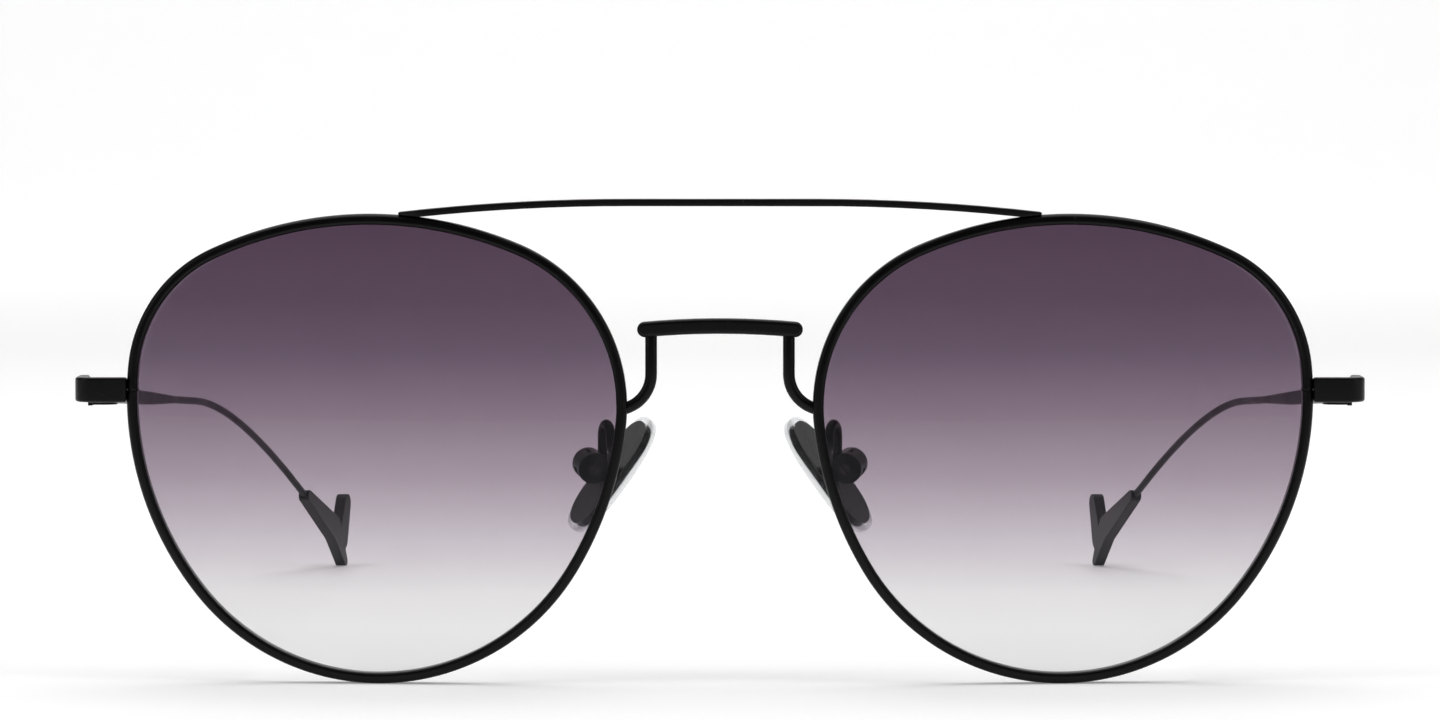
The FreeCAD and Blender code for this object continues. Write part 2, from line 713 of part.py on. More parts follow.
def make_hinge_screw():
    """Pin of the hinge, with a slotted head on the upper barrel."""
    lower, _, upper = barrel_levels()
    shank = cylinder("pin_shank", "pin_radius", "(%s) - (%s) + pin_head_height" % (upper[1], lower[0]),
                     HINGE_X, HINGE_Y, lower[0])
    head = cylinder("pin_head", "pin_head_radius", "pin_head_height", HINGE_X, HINGE_Y, upper[1])
    top = upper[1] + " + pin_head_height"
    slot = box("pin_slot",
               (HINGE_X + " - pin_head_radius", HINGE_Y + " - slot_width/2", top + " - slot_depth"),
               (HINGE_X + " + pin_head_radius", HINGE_Y + " + slot_width/2", top))
    return boolean("Cut", "left_hinge_screw", fuse("pin", [shank, head]), slot)


# ---------------------------------------------------------------- temple
TEMPLE_X = LEAF_X + " + blade_thickness/2"
TEMPLE_Y = HINGE_Y + " + temple_gap"
TEMPLE_Z = "hinge_z - blade_rise"
TEMPLE_CORNER = "vector(%s; %s; %s)" % (TEMPLE_X, TEMPLE_Y, TEMPLE_Z)
TEMPLE_TURN = about("z", "temple_splay") + " * " + about("x", "-90 - temple_fall")
BEND_TURN = TEMPLE_TURN + " * " + about("z", "90 + bend_tilt")


def make_blade():
    """Flat blade, straight, that narrows and thins back to the wire's size."""
    body = new_body("temple_blade")
    stations = (
        ("root", None, "blade_thickness", "blade_height", ("-blade_rise", -size("blade_rise"))),
        ("waist", "waist_at", "waist_thickness", "waist_height", None),
        ("tail", "blade_length", "2*wire_radius", "2*wire_radius", None))
    sketches = []
    for label, along, width, height, rise in stations:
        sketch = new_sketch(body, "blade_" + label, "XY_Plane", along)
        guesses = [size(text) if "*" not in text else 2 * size("wire_radius") for text in (width, height)]
        rounded_rectangle(sketch, (width, guesses[0]), (height, guesses[1]), named("corner_radius"), rise)
        sketches.append(sketch)
    doc.recompute()
    loft = body.newObject("PartDesign::AdditiveLoft", "blade_loft")
    loft.Profile = sketches[0]
    loft.Sections = sketches[1:]
    loft.Ruled = True
    place(body, TEMPLE_X, TEMPLE_Y, TEMPLE_Z, TEMPLE_TURN)
    return body


def make_wire():
    """Wire that carries on straight, bends once and ends inside the tip."""
    start, straight = size("blade_length"), size("straight_length")
    radius, tail = size("bend_radius"), size("wire_lead") + size("wire_in_tip")
    turn = radians(size("bend_angle"))
    bend_end = (radius - radius * cos(turn), straight - start + radius * sin(turn))
    last = (bend_end[0] + tail * sin(turn), bend_end[1] + tail * cos(turn))

    def path(sketch):
        sketch.addGeometry([
            line((0, 0), (0, straight - start)),
            arc((radius, straight - start), radius, pi - turn, pi),
            line(bend_end, last)], False)
        limit(sketch, "Coincident", 0, START, -1, START)
        limit(sketch, "Vertical", 0)
        limit(sketch, "DistanceY", 0, START, 0, END,
              to=("straight_length - blade_length", straight - start))
        limit(sketch, "Tangent", 0, END, 1, END)
        limit(sketch, "Radius", 1, to=named("bend_radius"))
        limit(sketch, "DistanceY", 1, END, 1, START,
              to=("bend_radius*sin(bend_angle)", radius * sin(turn)))
        limit(sketch, "Tangent", 1, START, 2, START)
        along = ("(wire_lead + wire_in_tip)*cos(bend_angle)", tail * cos(turn))
        limit(sketch, "DistanceY", 2, START, 2, END, to=along)

    wire = bent_wire("temple_wire", "wire_radius", path)
    along = "(%s)*vector(0; 0; blade_length)" % TEMPLE_TURN
    bind(wire, "Placement", "placement(%s + %s; %s)" % (TEMPLE_CORNER, along, BEND_TURN))
    return wire


def make_tip(wire):
    """Flat sleeve: a limb along the wire, a foot down to the surface and a toe."""
    body = new_body("tip_sleeve")
    collar = (("0", 0.0), ("0.6*collar_radius", 0.6 * size("collar_radius")))
    limb = (named("limb_up", -1), named("limb_run"))
    bars = (("limb", collar, "collar_radius", limb, "limb_radius"),
            ("foot", limb, "limb_radius", (named("foot_down"), named("foot_run")), "foot_radius"),
            ("toe", (named("toe_root_up", -1), named("toe_root_run")), "toe_root_radius",
             (named("toe_up", -1), named("toe_run")), "toe_radius"))
    for label, first, first_radius, second, second_radius in bars:
        sketch = new_sketch(body, "tip_" + label, "XZ_Plane")
        tapered_bar(sketch, first, named(first_radius), second, named(second_radius))
        pad(body, sketch, "tip_thickness")
    across = "bend_radius*(1 - cos(bend_angle)) + wire_lead*sin(bend_angle)"
    along = "straight_length + bend_radius*sin(bend_angle) + wire_lead*cos(bend_angle)"
    turn = " * ".join((BEND_TURN, about("y", "bend_angle"), about("z", "-tip_twist")))
    bind(body, "Placement", "placement(%s + (%s)*vector(%s; 0; %s); %s)" % (
        TEMPLE_CORNER, BEND_TURN, across, along, turn))
    return boolean("Cut", "left_temple_tip", body, wire)


# ---------------------------------------------------------------- nose pad
PAD_TURN = about("y", "-pad_roll") + " * " + about("z", "pad_yaw")


def on_pad(thing, x="0", y="0", z="0", turn=""):
    """Place a thing in the pad's frame: x across, y towards the nose, z along the pad."""
    offset = "(%s)*vector(%s; %s; %s)" % (PAD_TURN, x, y, z)
    rotation = PAD_TURN + (" * " + turn if turn else "")
    seat = "vector(%s; front_y + pad_y; pad_z)" % PAD_X
    bind(thing, "Placement", "placement(%s + %s; %s)" % (seat, offset, rotation))
    return thing


def pad_plate(name, inset, depth, turn=""):
    """Rounded plate with the pad's outline, moved in by an inset."""
    body = new_body(name)
    sketch = new_sketch(body, name + "_outline", "XZ_Plane")
    text, amount = inset
    rounded_rectangle(sketch,
                      ("(pad_width - 2*(%s))" % text, size("pad_width") - 2 * amount),
                      ("(pad_length - 2*(%s))" % text, size("pad_length") - 2 * amount),
                      ("(pad_corner - (%s))" % text, size("pad_corner") - amount))
    plate = pad(body, sketch, depth, both=False)
    plate.Reversed = True
    on_pad(body)
    return body


def pad_block(name, low, high):
    """Box in the pad's frame."""
    block = doc.addObject("Part::Box", name)
    for side, start, end in zip(("Length", "Width", "Height"), low, high):
        bind(block, side, "(%s) - (%s)" % (end, start))
    return on_pad(block, *low)


def pad_rod(name, radius, low, high, out="-screw_out"):
    """Cylinder across the pad, through the box."""
    rod = doc.addObject("Part::Cylinder", name)
    bind(rod, "Radius", radius)
    bind(rod, "Height", "(%s) - (%s)" % (high, low))
    return on_pad(rod, low, out, "-box_drop", about("y", "90"))


def make_pad_box():
    """Round box across the pad, open to it, with a slot for the core plate's tab."""
    drum = pad_rod("box_drum", "box_radius", "-box_size/2", "box_size/2")
    half_slot = "(tab_width/2 + tab_gap)"
    bottom = "-box_drop - box_radius - box_wall"
    slot = pad_block("box_slot",
                     ("-" + half_slot, "-screw_out - box_radius + box_wall", bottom),
                     (half_slot, "0", "-box_drop + box_radius - box_wall"))
    bore = pad_rod("box_bore", "pad_screw_radius + pad_screw_gap", "-box_size", "box_size")
    slotted = boolean("Cut", "box_slotted", drum, slot)
    return boolean("Cut", "left_pad_box", slotted, bore), drum


def make_pad_core():
    """Core plate with the tab that the pad screw passes through."""
    plate = pad_plate("core_plate", ("pad_border", size("pad_border")), "core_thickness")
    tab = pad_block("core_tab", ("-tab_width/2", "-screw_out - tab_end", "-box_drop - tab_length/2"),
                    ("tab_width/2", "core_thickness/2", "-box_drop + tab_length/2"))
    bore = pad_rod("tab_bore", "pad_screw_radius + pad_screw_gap", "-tab_width", "tab_width")
    return boolean("Cut", "left_pad_core", fuse("core_solid", [plate, tab]), bore), plate


def make_nose_pad(core_plate):
    """Soft pad, hollowed on its outer face for the core plate."""
    return boolean("Cut", "left_nose_pad", pad_plate("pad_soft", ("0", 0.0), "pad_thickness"), core_plate)


def make_pad_screw():
    """Cross screw of the pad box, with its slotted head to the front."""
    top = "-box_size/2 - pad_screw_head_height"
    shank = pad_rod("pad_screw_shank", "pad_screw_radius", top, "box_size/2")
    head = pad_rod("pad_screw_cap", "pad_screw_head", top, "-box_size/2")
    slot = pad_block("pad_screw_slot",
                     (top, "-screw_out - slot_width/2", "-box_drop - pad_screw_head"),
                     (top + " + slot_depth", "-screw_out + slot_width/2",
                      "-box_drop + pad_screw_head"))
    return boolean("Cut", "left_pad_screw", fuse("pad_screw_solid", [shank, head]), slot)


def make_pad_arm(box_drum):
    """Goose-neck wire from the back of the eyewire, up, over and down to the box."""
    foot, low, rise = size("arm_foot") + size("arm_sink"), size("arm_foot_radius"), size("arm_rise")
    crook = (size("arm_reach") - size("arm_foot") - low) / 2
    drop = size("arm_drop")
    crook_text = "(arm_reach - arm_foot - arm_foot_radius)/2"

    def path(sketch):
        sketch.addGeometry([
            line((0, 0), (0, foot)),
            arc((low, foot), low, pi / 2, pi),
            line((low, foot + low), (low + rise, foot + low)),
            arc((low + rise, foot + low + crook), crook, -pi / 2, pi / 2),
            line((low + rise, foot + low + 2 * crook), (low + rise - drop, foot + low + 2 * crook))], False)
        limit(sketch, "Coincident", 0, START, -1, START)
        limit(sketch, "Vertical", 0)
        limit(sketch, "DistanceY", 0, START, 0, END, to=("arm_foot + arm_sink", foot))
        limit(sketch, "Tangent", 0, END, 1, END)
        limit(sketch, "Radius", 1, to=named("arm_foot_radius"))
        limit(sketch, "Tangent", 1, START, 2, START)
        limit(sketch, "Horizontal", 2)
        limit(sketch, "DistanceX", 2, START, 2, END, to=named("arm_rise"))
        limit(sketch, "Tangent", 2, END, 3, START)
        limit(sketch, "Radius", 3, to=(crook_text, crook))
        limit(sketch, "Tangent", 3, END, 4, START)
        limit(sketch, "Horizontal", 4)
        limit(sketch, "DistanceX", 4, END, 4, START, to=named("arm_drop"))

    wire = bent_wire("arm_wire", "arm_radius", path)
    place(wire, NASAL_SIDE + " + arm_out", "front_y + arm_y", "arm_z",
          about("z", "-arm_yaw") + " * " + about("x", "-90") + " * " + about("z", "-90"))
    behind_rim = boolean("Common", "arm_behind_rim", wire, doc.getObject("rim_plate_inside"))
    return boolean("Cut", "left_pad_arm", behind_rim, box_drum)


# ---------------------------------------------------------------- assembly
def make_left_side(bridge_bar):
    """Every piece that exists once on each side."""
    lower, middle, upper = barrel_levels()
    front_hinge = hinge_half("left_front_hinge", (lower, upper), -1)
    temple_hinge = hinge_half("left_temple_hinge", (middle,), 1)
    wire = make_wire()
    temple = boolean("Cut", "left_temple", fuse("temple_solid", [make_blade(), wire]), temple_hinge)
    pad_box, box_body = make_pad_box()
    pad_core, core_plate = make_pad_core()
    return [make_rim(), make_lens(), make_bridge_leg(bridge_bar), make_endpiece()] + \
        make_closing_blocks() + \
        [front_hinge, temple_hinge, make_hinge_screw(), temple, make_tip(wire),
         make_pad_arm(box_body), pad_box, make_pad_screw(), pad_core, make_nose_pad(core_plate)]


def check(parts):
    """Stop if any object failed, or a part is empty, broken or in several solids."""
    for thing in doc.Objects:
        if "Invalid" in thing.State or "Error" in thing.State:
            raise RuntimeError("%s failed: %s" % (thing.Name, thing.State))
    for part in parts:
        shape = part.Shape
        if shape.isNull() or not shape.isValid() or len(shape.Solids) != 1:
            raise RuntimeError("%s: null %s, solids %d" % (part.Label, shape.isNull(), len(shape.Solids)))


bridge_bar = make_bridge_bar()
left_parts = make_left_side(bridge_bar)
brow_bar = make_brow_bar(mirrored("right_rim_prism", rim_prism))
right_parts = [mirrored(part.Name.replace("left_", "right_", 1), part) for part in left_parts]
parts = [bridge_bar, brow_bar] + left_parts + right_parts
doc.recompute()
for part in parts:
    part.Label = part.Name
check(parts)

os.makedirs("parts", exist_ok=True)
for part in parts:
    part.Shape.exportStep("parts/%s.step" % part.Label)
    print("%-28s volume %9.3f" % (part.Label, part.Shape.Volume))
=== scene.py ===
import math

import bmesh
import bpy
from mathutils import Matrix, Vector


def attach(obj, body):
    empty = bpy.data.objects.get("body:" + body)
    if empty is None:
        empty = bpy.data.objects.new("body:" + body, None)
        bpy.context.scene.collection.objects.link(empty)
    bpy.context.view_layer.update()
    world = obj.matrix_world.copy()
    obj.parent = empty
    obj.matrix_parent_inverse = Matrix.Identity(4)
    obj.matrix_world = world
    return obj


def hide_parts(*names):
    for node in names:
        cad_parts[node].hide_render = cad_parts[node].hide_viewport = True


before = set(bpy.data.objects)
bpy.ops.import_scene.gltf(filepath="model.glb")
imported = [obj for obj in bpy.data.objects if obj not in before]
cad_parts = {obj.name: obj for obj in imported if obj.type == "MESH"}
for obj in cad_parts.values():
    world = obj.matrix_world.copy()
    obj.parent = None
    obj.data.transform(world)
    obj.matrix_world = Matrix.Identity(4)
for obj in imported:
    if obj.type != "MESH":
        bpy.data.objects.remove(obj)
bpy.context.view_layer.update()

MM = 0.001
FRONT_Y = -71.9
SIDES = (("left", 1), ("right", -1))

# lens outline in millimetres: its centre, then six tangent arcs, of which three are given
# as (x, z, radius) from that centre and three by radius alone
LENS_X = 35.67
LENS_Z = 24.535
BOTTOM_ARC = (0.0, -0.29, 24.245)
NASAL_ARC = (-7.74, 4.43, 18.29)
OUTER_ARC = (11.17, 7.07, 15.01)
OUTER_SIDE_RADIUS = 33.39
TOP_RADIUS = 39.92
NASAL_SIDE_RADIUS = 37.5
SPHERE_SHIFT = 9.0
BASE_RADIUS = 131.0
RIM_WIDTH = 1.12
RIM_DEPTH = 2.1
SPLIT_Z = 30.55
SPLIT_GAP = 0.04
OUTLINE_STEP = 0.45

# nose pads
PAD_POINT = (11.8, FRONT_Y + 8.2, 21.75)
PAD_YAW = 70.0
PAD_ROLL = 35.5
PAD_WIDTH = 7.6
PAD_LENGTH = 14.2
PAD_THICKNESS = 1.6
PAD_BORDER = 0.7
CORE_THICKNESS = 0.8
PAD_STEPS = 72
PAD_SQUARENESS = 2.35

# merging and rounding of the CAD meshes
MERGE_DISTANCE = 1e-6
FLAT_ANGLE = math.radians(0.6)
EDGE_ANGLE = math.radians(32)

# share of light that one lens face mirrors when it is seen head on
HEAD_ON_GLOSS = 0.0115


# ---------------------------------------------------------------- materials

def linear(*srgb):
    """Linear colour of three 0..255 sRGB numbers."""
    values = []
    for number in srgb:
        share = number / 255
        values.append(share / 12.92 if share <= 0.04045 else ((share + 0.055) / 1.055) ** 2.4)
    return tuple(values) + (1.0,)


class Nodes:
    """Short calls for building one material's node tree."""

    def __init__(self, name):
        self.material = bpy.data.materials.new(name)
        self.material.use_nodes = True
        self.tree = self.material.node_tree
        self.shader = self.tree.nodes["Principled BSDF"]
        self.output = self.tree.nodes["Material Output"]
        self.place = self.add("ShaderNodeTexCoord").outputs["Object"]

    def add(self, kind, **inputs):
        node = self.tree.nodes.new(kind)
        for name, value in inputs.items():
            self.feed(node.inputs[name.replace("_", " ")], value)
        return node

    def feed(self, socket, value):
        if isinstance(value, bpy.types.NodeSocket):
            self.tree.links.new(value, socket)
        else:
            socket.default_value = value

    def noise(self, scale, detail=3.0, stretch=(1, 1, 1)):
        mapping = self.add("ShaderNodeMapping", Vector=self.place, Scale=stretch)
        node = self.add("ShaderNodeTexNoise", Vector=mapping.outputs[0], Scale=scale,
                        Detail=detail)
        return node.outputs["Fac"]

    def remap(self, value, low, high, new_low, new_high):
        node = self.add("ShaderNodeMapRange", Value=value)
        for name, number in (("From Min", low), ("From Max", high),
                             ("To Min", new_low), ("To Max", new_high)):
            node.inputs[name].default_value = number
        return node.outputs["Result"]

    def mix(self, share, first, second):
        node = self.add("ShaderNodeMix")
        node.data_type = "RGBA"
        self.feed(node.inputs["Factor"], share)
        self.feed(node.inputs[6], first)
        self.feed(node.inputs[7], second)
        return node.outputs[2]

    def bump(self, height, distance, strength, normal=None):
        node = self.add("ShaderNodeBump", Height=height, Distance=distance, Strength=strength)
        if normal is not None:
            self.feed(node.inputs["Normal"], normal)
        return node.outputs["Normal"]


def coated_metal(name, dark, worn, rough, grain):
    """Satin black coat over metal: fine orange peel, blotches in the gloss, rubbed specks."""
    n = Nodes(name)
    fine = n.noise(grain, 2.0)
    cloud = n.noise(260.0, 4.0)
    scuff = n.noise(1900.0, 5.0, (1.0, 1.0, 0.35))
    specks = n.remap(scuff, 0.68, 0.78, 0.0, 1.0)
    lighter = [number + 4 for number in dark]
    tone = n.mix(n.remap(cloud, 0.3, 0.7, 0.0, 1.0), linear(*dark), linear(*lighter))
    n.feed(n.shader.inputs["Base Color"], n.mix(specks, tone, linear(*worn)))
    n.feed(n.shader.inputs["Roughness"], n.remap(cloud, 0.25, 0.75, rough - 0.06, rough + 0.07))
    n.shader.inputs["Metallic"].default_value = 0.05
    n.shader.inputs["Specular IOR Level"].default_value = 0.16
    n.shader.inputs["Coat Weight"].default_value = 0.03
    n.shader.inputs["Coat Roughness"].default_value = 0.22
    wave = n.bump(cloud, 0.00002, 0.25)
    n.feed(n.shader.inputs["Normal"], n.bump(fine, 0.000006, 0.35, wave))
    return n.material


def brushed_steel(name):
    """Blackened steel with turning marks, for the screw heads."""
    n = Nodes(name)
    rings = n.noise(6000.0, 2.0, (1.0, 0.08, 1.0))
    cloud = n.noise(900.0, 3.0)
    n.feed(n.shader.inputs["Base Color"],
           n.mix(cloud, linear(46, 45, 47), linear(92, 91, 93)))
    n.feed(n.shader.inputs["Roughness"], n.remap(rings, 0.3, 0.7, 0.28, 0.46))
    n.shader.inputs["Metallic"].default_value = 0.9
    n.feed(n.shader.inputs["Normal"], n.bump(rings, 0.00001, 0.4))
    return n.material


def satin_acetate(name):
    """Black acetate of the tips: faint long marbling, tumbled sheen and hairline scratches."""
    n = Nodes(name)
    marble = n.noise(90.0, 5.0, (1.0, 0.25, 1.0))
    scratch = n.noise(2600.0, 2.0, (1.0, 0.04, 1.0))
    fine = n.noise(5200.0, 2.0)
    lines = n.remap(scratch, 0.66, 0.74, 0.0, 1.0)
    tone = n.mix(n.remap(marble, 0.35, 0.65, 0.0, 1.0), linear(4, 3, 4), linear(9, 8, 9))
    n.feed(n.shader.inputs["Base Color"], n.mix(lines, tone, linear(50, 48, 51)))
    n.feed(n.shader.inputs["Roughness"], n.remap(marble, 0.3, 0.7, 0.36, 0.5))
    n.shader.inputs["Specular IOR Level"].default_value = 0.25
    n.shader.inputs["Sheen Weight"].default_value = 0.01
    n.shader.inputs["Coat Weight"].default_value = 0.04
    n.shader.inputs["Coat Roughness"].default_value = 0.3
    soft = n.bump(marble, 0.00003, 0.2)
    n.feed(n.shader.inputs["Normal"], n.bump(fine, 0.000005, 0.3, soft))
    return n.material


def tinted_lens(name):
    """Polished lens, its tint fading from the top down, with a faint waviness in the gloss."""
    n = Nodes(name)
    split = n.add("ShaderNodeSeparateXYZ", Vector=n.place)
    drift = n.remap(n.noise(60.0, 2.0), 0.0, 1.0, -0.0006, 0.0006)
    height = n.add("ShaderNodeMath")
    height.operation = "ADD"
    n.feed(height.inputs[0], split.outputs["Z"])
    n.feed(height.inputs[1], drift)
    share = n.remap(height.outputs[0], TINT[0][0] * MM, TINT[-1][0] * MM, 0.0, 1.0)
    ramp = n.add("ShaderNodeValToRGB", Fac=share)
    span = TINT[-1][0] - TINT[0][0]
    stops = ramp.color_ramp.elements
    while len(stops) < len(TINT):
        stops.new(0.5)
    for stop, (z, colour) in zip(stops, TINT):
        stop.position = (z - TINT[0][0]) / span
        # light crosses two faces, so each face has the root of the whole tint
        stop.color = tuple(math.sqrt(part) for part in linear(*colour)[:3]) + (1.0,)
    clear = n.add("ShaderNodeBsdfTransparent", Color=ramp.outputs["Color"])
    haze = n.noise(700.0, 3.0)
    gloss = n.add("ShaderNodeBsdfGlossy")
    n.feed(gloss.inputs["Color"], (0.9, 0.92, 0.96, 1.0))
    n.feed(gloss.inputs["Roughness"], n.remap(haze, 0.3, 0.7, 0.03, 0.07))
    n.feed(gloss.inputs["Normal"], n.bump(n.noise(40.0, 1.0), 0.00004, 0.15))
    # Schlick's gloss: the lens doesn't bend light, so inner faces mustn't reflect it all
    facing = n.add("ShaderNodeLayerWeight")
    facing.inputs["Blend"].default_value = 0.5
    grazing = n.add("ShaderNodeMath")
    grazing.operation = "POWER"
    n.feed(grazing.inputs[0], facing.outputs["Facing"])
    grazing.inputs[1].default_value = 5.0
    blend = n.add("ShaderNodeMixShader")
    n.feed(blend.inputs[0], n.remap(grazing.outputs[0], 0.0, 1.0, HEAD_ON_GLOSS, 1.0))
    n.feed(blend.inputs[1], clear.outputs[0])
    n.feed(blend.inputs[2], gloss.outputs[0])
    n.feed(n.output.inputs["Surface"], blend.outputs[0])
    return n.material


def clear_silicone(name):
    """Clear soft silicone, slightly cloudy, with a moulded satin skin and a few dust specks."""
    n = Nodes(name)
    cloud = n.noise(420.0, 4.0)
    dust = n.remap(n.noise(3200.0, 3.0), 0.7, 0.76, 0.0, 1.0)
    tone = n.mix(cloud, linear(236, 238, 240), linear(250, 251, 252))
    n.feed(n.shader.inputs["Base Color"], n.mix(dust, tone, linear(205, 206, 210)))
    n.feed(n.shader.inputs["Roughness"], n.remap(cloud, 0.3, 0.7, 0.08, 0.2))
    n.shader.inputs["Transmission Weight"].default_value = 0.96
    n.shader.inputs["IOR"].default_value = 1.41
    n.shader.inputs["Coat Weight"].default_value = 0.1
    n.shader.inputs["Coat Roughness"].default_value = 0.1
    n.feed(n.shader.inputs["Normal"], n.bump(cloud, 0.00004, 0.2))
    clear = n.add("ShaderNodeBsdfTransparent", Color=(0.97, 0.975, 0.98, 1.0))
    blend = n.add("ShaderNodeMixShader")
    n.feed(blend.inputs[0], n.remap(cloud, 0.3, 0.7, 0.34, 0.42))
    n.feed(blend.inputs[1], clear.outputs[0])
    n.feed(blend.inputs[2], n.shader.outputs[0])
    n.feed(n.output.inputs["Surface"], blend.outputs[0])
    return n.material


def pad_plastic(name):
    """Dark glossy core of the nose pads, with a faint moulded texture."""
    n = Nodes(name)
    cloud = n.noise(500.0, 3.0)
    fine = n.noise(4200.0, 2.0)
    n.feed(n.shader.inputs["Base Color"], n.mix(cloud, linear(5, 4, 5), linear(12, 11, 12)))
    n.feed(n.shader.inputs["Roughness"], n.remap(cloud, 0.3, 0.7, 0.14, 0.28))
    n.shader.inputs["Specular IOR Level"].default_value = 0.2
    n.feed(n.shader.inputs["Normal"], n.bump(fine, 0.000008, 0.3))
    return n.material


# heights in millimetres and the colour of white seen through the lens there
TINT = (
    (6.0, (226, 225, 225)),
    (9.4, (220, 218, 219)),
    (15.6, (190, 182, 190)),
    (21.9, (157, 144, 156)),
    (28.1, (132, 116, 131)),
    (34.3, (106, 90, 107)),
    (40.5, (89, 72, 88)),
    (46.7, (80, 63, 79)),
)

METAL = coated_metal("satin_black_coat", (4, 3, 4), (40, 38, 42), 0.32, 5200.0)
SCREW = brushed_steel("blackened_steel")
ACETATE = satin_acetate("black_acetate")
LENS = tinted_lens("gradient_tint")
SILICONE = clear_silicone("clear_silicone")
CORE = pad_plastic("pad_core_plastic")


# ---------------------------------------------------------------- mesh helpers

def placed(name, data):
    """Object of this name and data, linked into the scene."""
    thing = bpy.data.objects.new(name, data)
    bpy.context.scene.collection.objects.link(thing)
    return thing


def new_piece(name, points, faces, material, body, nodes):
    """Mesh object from points in millimetres, riding a body and standing for CAD nodes."""
    mesh = bpy.data.meshes.new(name)
    mesh.from_pydata([Vector(point) * MM for point in points], [], faces)
    mesh.materials.append(material)
    shape = bmesh.new()
    shape.from_mesh(mesh)
    bmesh.ops.remove_doubles(shape, verts=shape.verts, dist=1e-7)
    bmesh.ops.recalc_face_normals(shape, faces=shape.faces)
    shape.to_mesh(mesh)
    shape.free()
    for face in mesh.polygons:
        face.use_smooth = True
    piece = placed(name, mesh)
    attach(piece, body)
    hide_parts(*nodes)


def softened(node, material, body, width, segments=3):
    """Copy of a CAD node with its flat faces merged and its sharp edges rounded over."""
    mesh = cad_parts[node].data.copy()
    mesh.materials.clear()
    mesh.materials.append(material)
    shape = bmesh.new()
    shape.from_mesh(mesh)
    bmesh.ops.remove_doubles(shape, verts=shape.verts, dist=MERGE_DISTANCE)
    bmesh.ops.dissolve_limit(shape, angle_limit=FLAT_ANGLE, verts=shape.verts,
                             edges=shape.edges)
    shape.to_mesh(mesh)
    shape.free()
    for face in mesh.polygons:
        face.use_smooth = True
        face.material_index = 0
    piece = placed("fine_" + node, mesh)
    bevel = piece.modifiers.new("rounded_edges", "BEVEL")
    bevel.width = width * MM
    bevel.segments = segments
    bevel.limit_method = "ANGLE"
    bevel.angle_limit = EDGE_ANGLE
    bevel.miter_outer = "MITER_ARC"
    normals = piece.modifiers.new("flat_faces_flat", "WEIGHTED_NORMAL")
    normals.keep_sharp = False
    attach(piece, body)
    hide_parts(node)


# ---------------------------------------------------------------- eyewires and lenses

def side_centre(first, second, radius):
    """Centre of the arc that touches two circles from outside their far sides."""
    ax, az, ar = first
    bx, bz, br = second
    gap = math.hypot(bx - ax, bz - az)
    ux, uz = (bx - ax) / gap, (bz - az) / gap
    near, far = radius - ar, radius - br
    along = (near ** 2 - far ** 2 + gap ** 2) / (2 * gap)
    away = math.sqrt(near ** 2 - along ** 2)
    return ax + along * ux - away * uz, az + along * uz + away * ux


def lens_outline():
    """Points and outward directions round the lens, anticlockwise from the front."""
    radii = (OUTER_SIDE_RADIUS, TOP_RADIUS, NASAL_SIDE_RADIUS)
    pairs = ((BOTTOM_ARC, OUTER_ARC), (OUTER_ARC, NASAL_ARC), (NASAL_ARC, BOTTOM_ARC))
    sides = [side_centre(a, b, radius) + (radius,) for (a, b), radius in zip(pairs, radii)]
    ring = [BOTTOM_ARC, sides[0], OUTER_ARC, sides[1], NASAL_ARC, sides[2]]

    def joint(index):
        small, large = (index, index + 1) if index % 2 == 0 else (index + 1, index)
        small, large = ring[small % 6], ring[large % 6]
        return math.atan2(small[1] - large[1], small[0] - large[0])

    points = []
    for index, (x, z, radius) in enumerate(ring):
        start, end = joint(index - 1), joint(index)
        turn = (end - start) % math.tau
        count = max(2, round(turn * radius / OUTLINE_STEP))
        for step in range(count):
            angle = start + turn * step / count
            direction = (math.cos(angle), math.sin(angle))
            points.append((x + radius * direction[0], z + radius * direction[1], direction))
    return points


def on_sphere(x, z, radius):
    """Depth of a sphere of the lens's curve at a point of the front view."""
    centre_y = FRONT_Y + BASE_RADIUS + RIM_DEPTH / 2
    away = math.hypot(x - LENS_X + SPHERE_SHIFT, z - LENS_Z)
    return centre_y - math.sqrt(radius ** 2 - away ** 2)


def rim_section():
    """Rounded section of the eyewire: how far in from the outline, and how far back."""
    round_front, round_back, steps = 0.42, 0.3, 5
    # centre across and back, start and end angle, radius
    corners = (
        (round_front, round_front, 180, 270, round_front),
        (RIM_WIDTH - round_front, round_front, 270, 360, round_front),
        (RIM_WIDTH - round_back, RIM_DEPTH - round_back, 0, 90, round_back),
        (round_back, RIM_DEPTH - round_back, 90, 180, round_back),
    )
    section = []
    for across, deep, start, end, radius in corners:
        for step in range(steps + 1):
            angle = math.radians(start + (end - start) * step / steps)
            section.append((across + radius * math.cos(angle),
                            deep + radius * math.sin(angle)))
    return section


def open_outline():
    """The outline cut open at the split, from its upper end round to its lower end."""
    points = lens_outline()
    split = SPLIT_Z - LENS_Z
    cut = next(i for i, point in enumerate(points)
               if point[0] > 0 and points[i - 1][1] <= split < point[1])
    ordered = points[cut:] + points[:cut]
    high = split + SPLIT_GAP / 2
    low = split - SPLIT_GAP / 2
    kept = [p for p in ordered if not (p[0] > 0 and low < p[1] < high)]
    x, z, radius = OUTER_ARC

    def end_point(level):
        angle = math.asin((level - z) / radius)
        direction = (math.cos(angle), math.sin(angle))
        return x + radius * direction[0], level, direction

    return [end_point(high)] + kept + [end_point(low)]


